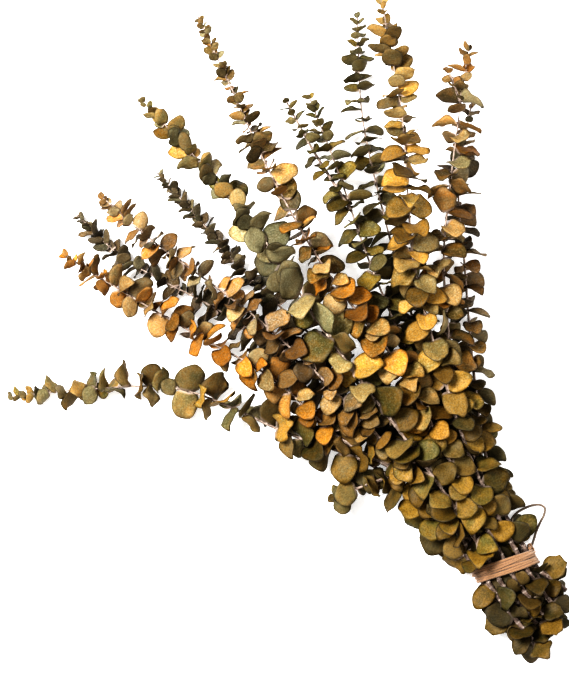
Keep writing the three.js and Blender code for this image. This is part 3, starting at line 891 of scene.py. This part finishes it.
class EUCALYPTUS_OT_grow_stems(bpy.types.Operator):
    """Makes the bark of the stems and shoots, swollen and bleached where each leaf pair joins"""

    bl_idname = "eucalyptus.grow_stems"
    bl_label = "Grow Stems"

    SIDES = 8
    STEP = 4.0
    # The bark's share of the plain radius, and how far up it slims down to that
    SLIM = {"share": 0.74, "from": 50, "to": 140}
    # A joint swells by this share over its length, which takes no two rings nearer than a part of it
    SWELLING = 0.25
    JOINT_LENGTH = 1.0
    NEAREST_RING = 0.45
    SLENDER = 0.6

    def slim(self, along):
        """The bark's share of the plain radius, full where the tie holds the stem."""
        start, stop = self.SLIM["from"], self.SLIM["to"]
        return mix(1, self.SLIM["share"], smooth((along - start) / (stop - start)))

    def stations(self, branch, between):
        """Where the rings go, as (share of the length, how near a joint it is)."""
        length = branch["course"].length
        joints = [1 - place[2] / length for place in pair_places(branch, between)]
        reach = self.JOINT_LENGTH / length
        near = [joint + part * reach for joint in joints for part in (-1, 0, 1)]
        even = list(np.linspace(0, 1, round(length / self.STEP) + 1))
        shares = [0.0, 1.0]
        for share in sorted(near + even):
            if min(abs(share - other) for other in shares) > self.NEAREST_RING * reach:
                shares.append(share)
        return [(share, max(math.exp(-((share - joint) / reach) ** 2 * 1.4) for joint in joints))
                for share in sorted(shares)]

    def execute(self, context):
        settings = context.scene.eucalyptus_foliage
        bark = bark_material(settings.bark)
        cut = cut_wood_material()
        for number, stem in STEMS.items():
            bm = bmesh.new()
            for branch in (b for b in branches() if b["number"] == number):
                course, radius = branch["course"], branch["radius"]
                stations = self.stations(branch, settings.between)
                points = [course.point(share) for share, _ in stations]
                radii = [radius(share) * self.slim(share * course.length) * (1 + self.SWELLING * joint)
                         for share, joint in stations]
                spread = STEM["radius"] - self.SLENDER
                sweep(bm, tube_rings(points, radii, self.SIDES), {
                    "joint": lambda ring, side: stations[ring][1] ** 2,
                    "slender": lambda ring, side: 1 - smooth((radii[ring] - self.SLENDER) / spread)})
            for face in bm.faces:
                face.material_index = int(len(face.verts) > 4)
            to_piece(
                bm, f"bark_{number}", [bark, cut], f"leafy_stem_{number}")
        return {"FINISHED"}


class EUCALYPTUS_OT_grow_leaves(bpy.types.Operator):
    """Grows the leaf pairs of every stem, each leaf clear of the others"""

    bl_idname = "eucalyptus.grow_leaves"
    bl_label = "Grow Leaves"

    # How finely a stem and the loop are drawn where they stand in the way of the leaves
    COARSE_STEP = 12.0
    COARSE_SIDES = 6
    LOOP_STEPS = 30
    # How far round the tie, above it and above the loop's free part no leaf stands, where that part starts,
    # and how far beside it the leaves are held back
    ROUND_TIE = 1.5
    OVER_TIE = 16
    OVER_LOOP = 45
    LOOP_IN_SIGHT = 23.5
    BESIDE_LOOP = (-1.9, 1.1, 0)

    def place_stems(self, space, made):
        """Stems, tie and loop stand in the way of the leaves."""
        for branch in made:
            course = branch["course"]
            shares = np.linspace(0, 1, round(course.length / self.COARSE_STEP) + 1)
            radii = [branch["radius"](share) for share in shares]
            rings = tube_rings([course.point(share) for share in shares], radii, self.COARSE_SIDES)
            self.place_tube(space, rings, branch["number"])
        half = TIE["band"] / 2
        wide = TIE["half_width"] + self.ROUND_TIE
        high = TIE["half_height"] + self.ROUND_TIE
        around = [(math.cos(a), math.sin(a)) for a in np.linspace(0, 2 * math.pi, 33)]
        over = ((-half, 0), (-half, self.OVER_TIE), (half, self.OVER_TIE), (half, 0), (-half, 0))
        self.place_tube(space, np.array([
            [(wide * c, y + TIE["slant"] * wide * c, TIE["centre_z"] + high * s + lift * max(s, 0))
             for c, s in around] for y, lift in over]), "tie")
        course = Course(LOOP_ROUTE)
        points = [course.point(i / self.LOOP_STEPS) for i in range(self.LOOP_STEPS + 1)]
        self.place_tube(space, tube_rings(points, [1.0] * len(points), self.COARSE_SIDES), "tie")
        free = [p + np.array(self.BESIDE_LOOP) for p in points if p[0] > self.LOOP_IN_SIGHT]
        curtain = np.array(free + [p + UP * self.OVER_LOOP for p in free])
        count = len(free)
        space.add(curtain, [(i, i + 1, count + i + 1, count + i) for i in range(count - 1)], "tie", False)

    def place_tube(self, space, rings, owner):
        sides = len(rings[0])
        faces = [(s, (s + 1) % sides, sides + (s + 1) % sides, sides + s) for s in range(sides)]
        for pair in zip(rings, rings[1:]):
            space.add(np.vstack(pair), faces, owner, False)

    def add_leaf(self, bm, grid, leaf, thickness, layers):
        cells = grid.SIDE - 1
        made = bmesh.ops.create_grid(bm, x_segments=cells, y_segments=cells, size=MM)["verts"]
        uv_layer, rim, *values = layers
        ordered = sorted(made, key=lambda v: (round(v.co.y, 7), v.co.x))
        index = {vert: i for i, vert in enumerate(ordered)}
        for vert, point in zip(ordered, grid.points(leaf, thickness)):
            vert.co = Vector(point) * MM
            vert[rim] = float(grid.rim[index[vert]])
            for layer in values:
                vert[layer] = leaf[layer.name]
        for face in {face for vert in made for face in vert.link_faces}:
            face.smooth = True
            for loop in face.loops:
                place = index[loop.vert]
                loop[uv_layer].uv = (grid.across[place] + 0.5, grid.u[place])

    def paint_shade_under(self, leaves):
        """Paints shade on the leaves inside the bunch: each leaf with others lying over it is darkened, and
        turned a little greener.
        """
        middles = np.array([leaf["root"] + leaf["axis"] * leaf["length"] / 2 for leaf in leaves])
        for leaf, middle in zip(leaves, middles):
            away = middles - middle
            over = (np.hypot(away[:, 0], away[:, 1]) < PAINTED_SHADE_UNDER["reach"]) & (away[:, 2] > PAINTED_SHADE_UNDER["above"])
            depth = min(over.sum() / PAINTED_SHADE_UNDER["leaves"], 1)
            # Painted shade: the more leaves lie over this one, the darker and greener it is
            leaf["shade"] *= 1 - PAINTED_SHADE_UNDER["darker"] * depth
            leaf["warm"] -= PAINTED_SHADE_UNDER["greener"] * depth

    def execute(self, context):
        settings = context.scene.eucalyptus_foliage
        thickness = settings.thickness / MM
        grid = LeafGrid()
        space = Space()
        made = branches()
        self.place_stems(space, made)
        plans = [
            (part > 0, branch["number"], leaf_plan(branch, pair, part, from_tip, side))
            for branch in made for pair, part, from_tip in pair_places(branch, settings.between)
            for side in (0, 1)]
        leaves = {number: [] for number in STEMS}
        for _, number, plan in sorted(plans, key=lambda item: item[0]):
            if abs(plan["root"][1]) <= LEAF["tie_clear"]:
                continue
            for leaf in leaf_choices(plan):
                if leaf["root"][2] + leaf["axis"][2] * leaf["length"] < RETRY["lowest_reach"]:
                    continue
                points = grid.points(leaf, thickness)
                if points[:, 2].max() <= RETRY["highest"] and not space.meets(points, grid.faces, number):
                    space.add(points, grid.faces, number, True)
                    leaves[number].append(leaf)
                    break
        # Painted shade on the leaves inside the bunch
        self.paint_shade_under([leaf for grown in leaves.values() for leaf in grown])
        skins = {
            finish: [leaf_material(finish, getattr(settings, finish), underside)
                     for underside in (False, True)]
            for finish in FINISH}
        for number, stem in STEMS.items():
            bm = bmesh.new()
            layers = [bm.loops.layers.uv.new("UVMap")]
            layers += [bm.verts.layers.float.new(name) for name in LEAF_LAYERS]
            for leaf in leaves[number]:
                self.add_leaf(bm, grid, leaf, thickness, layers)
            finish = stem["finish"]
            piece = to_piece(
                bm, f"leaves_{number}", skins[finish], f"leafy_stem_{number}")
            solid = piece.modifiers.new("thickness", "SOLIDIFY")
            solid.thickness = settings.thickness
            solid.offset = 0
            solid.material_offset = 1
        return {"FINISHED"}


class EUCALYPTUS_OT_set_stage(bpy.types.Operator):
    """Adds the pale floor, a large soft key light, a fill, a low side light and the light from all round"""

    bl_idname = "eucalyptus.set_stage"
    bl_label = "Set Stage"

    FLOOR_HALF = 3.0
    FLOOR_DROP = 0.0004
    FLOOR_GLOW = 0.32
    LOOK = "Very High Contrast"
    # Each light's place and size, in metres, and the point that they all face
    LIGHTS = {
        "key": ((-0.5, 0.95, 1.75), 0.7), "fill": ((-0.25, 0.1, 1.7), 0.8),
        "side": ((1.0, -0.45, 0.6), 0.8),
    }
    FACING = (-0.05, 0.2, 0.03)

    def execute(self, context):
        settings = context.scene.eucalyptus_studio
        bm = bmesh.new()
        bmesh.ops.create_grid(bm, x_segments=1, y_segments=1, size=self.FLOOR_HALF)
        bmesh.ops.translate(bm, verts=bm.verts, vec=(0, 0, -self.FLOOR_DROP))
        board, _, shader = new_material("matt_white_board")
        feed(shader, {"Base Color": "#F7F7F7", "Roughness": 0.9, "Emission Color": "#FFFFFF",
                      "Emission Strength": self.FLOOR_GLOW})
        floor = mesh_object(bm, "floor", [board])
        floor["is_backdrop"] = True
        for name, (place, size) in self.LIGHTS.items():
            data = bpy.data.lights.new(f"{name}_light", "AREA")
            data.shape = "DISK"
            data.size = size
            data.energy = getattr(settings, name)
            lamp = add_object(f"{name}_light", data)
            lamp.location = place
            facing = Vector(self.FACING) - Vector(place)
            lamp.rotation_euler = facing.to_track_quat("-Z", "Y").to_euler()
        world = bpy.data.worlds.new("soft_studio")
        world.use_nodes = True
        feed(world.node_tree.nodes["Background"], {"Strength": settings.ambient, "Color": "#FFFFFF"})
        context.scene.world = world
        context.scene.view_settings.view_transform = "Standard"
        context.scene.view_settings.look = self.LOOK
        return {"FINISHED"}


class EUCALYPTUS_PT_panel(bpy.types.Panel):
    """Lists the pieces of the bunch and their settings"""

    bl_label = "Eucalyptus Bunch"
    bl_idname = "EUCALYPTUS_PT_panel"
    bl_space_type = "VIEW_3D"
    bl_region_type = "UI"
    bl_category = "Eucalyptus"

    def draw(self, context):
        for name, (group, *operators) in PANEL.items():
            box = self.layout.box()
            for setting in group.__annotations__:
                box.prop(getattr(context.scene, name), setting)
            for operator in operators:
                box.operator(operator.bl_idname)


# The settings and the operators of each box in the panel
PANEL = {
    "eucalyptus_twine": (TwineSettings, EUCALYPTUS_OT_lay_loop, EUCALYPTUS_OT_wind_tie),
    "eucalyptus_foliage": (FoliageSettings, EUCALYPTUS_OT_grow_stems, EUCALYPTUS_OT_grow_leaves),
    "eucalyptus_studio": (StudioSettings, EUCALYPTUS_OT_set_camera, EUCALYPTUS_OT_set_stage),
}
CLASSES = (*(item for row in PANEL.values() for item in row), EUCALYPTUS_PT_panel)


def register():
    for item in CLASSES:
        bpy.utils.register_class(item)
    for name, (group, *_) in PANEL.items():
        setattr(bpy.types.Scene, name, bpy.props.PointerProperty(type=group))


def unregister():
    for name in PANEL:
        delattr(bpy.types.Scene, name)
    for item in reversed(CLASSES):
        bpy.utils.unregister_class(item)


def main():
    cad_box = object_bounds()
    register()
    bpy.ops.eucalyptus.set_camera()
    bpy.ops.eucalyptus.lay_loop()
    bpy.ops.eucalyptus.wind_tie()
    bpy.ops.eucalyptus.grow_stems()
    bpy.ops.eucalyptus.grow_leaves()
    bpy.ops.eucalyptus.set_stage()
    boxes = [[list(map(float, corner)) for corner in box] for box in (cad_box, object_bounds())]


if __name__ == "__main__":
    main()
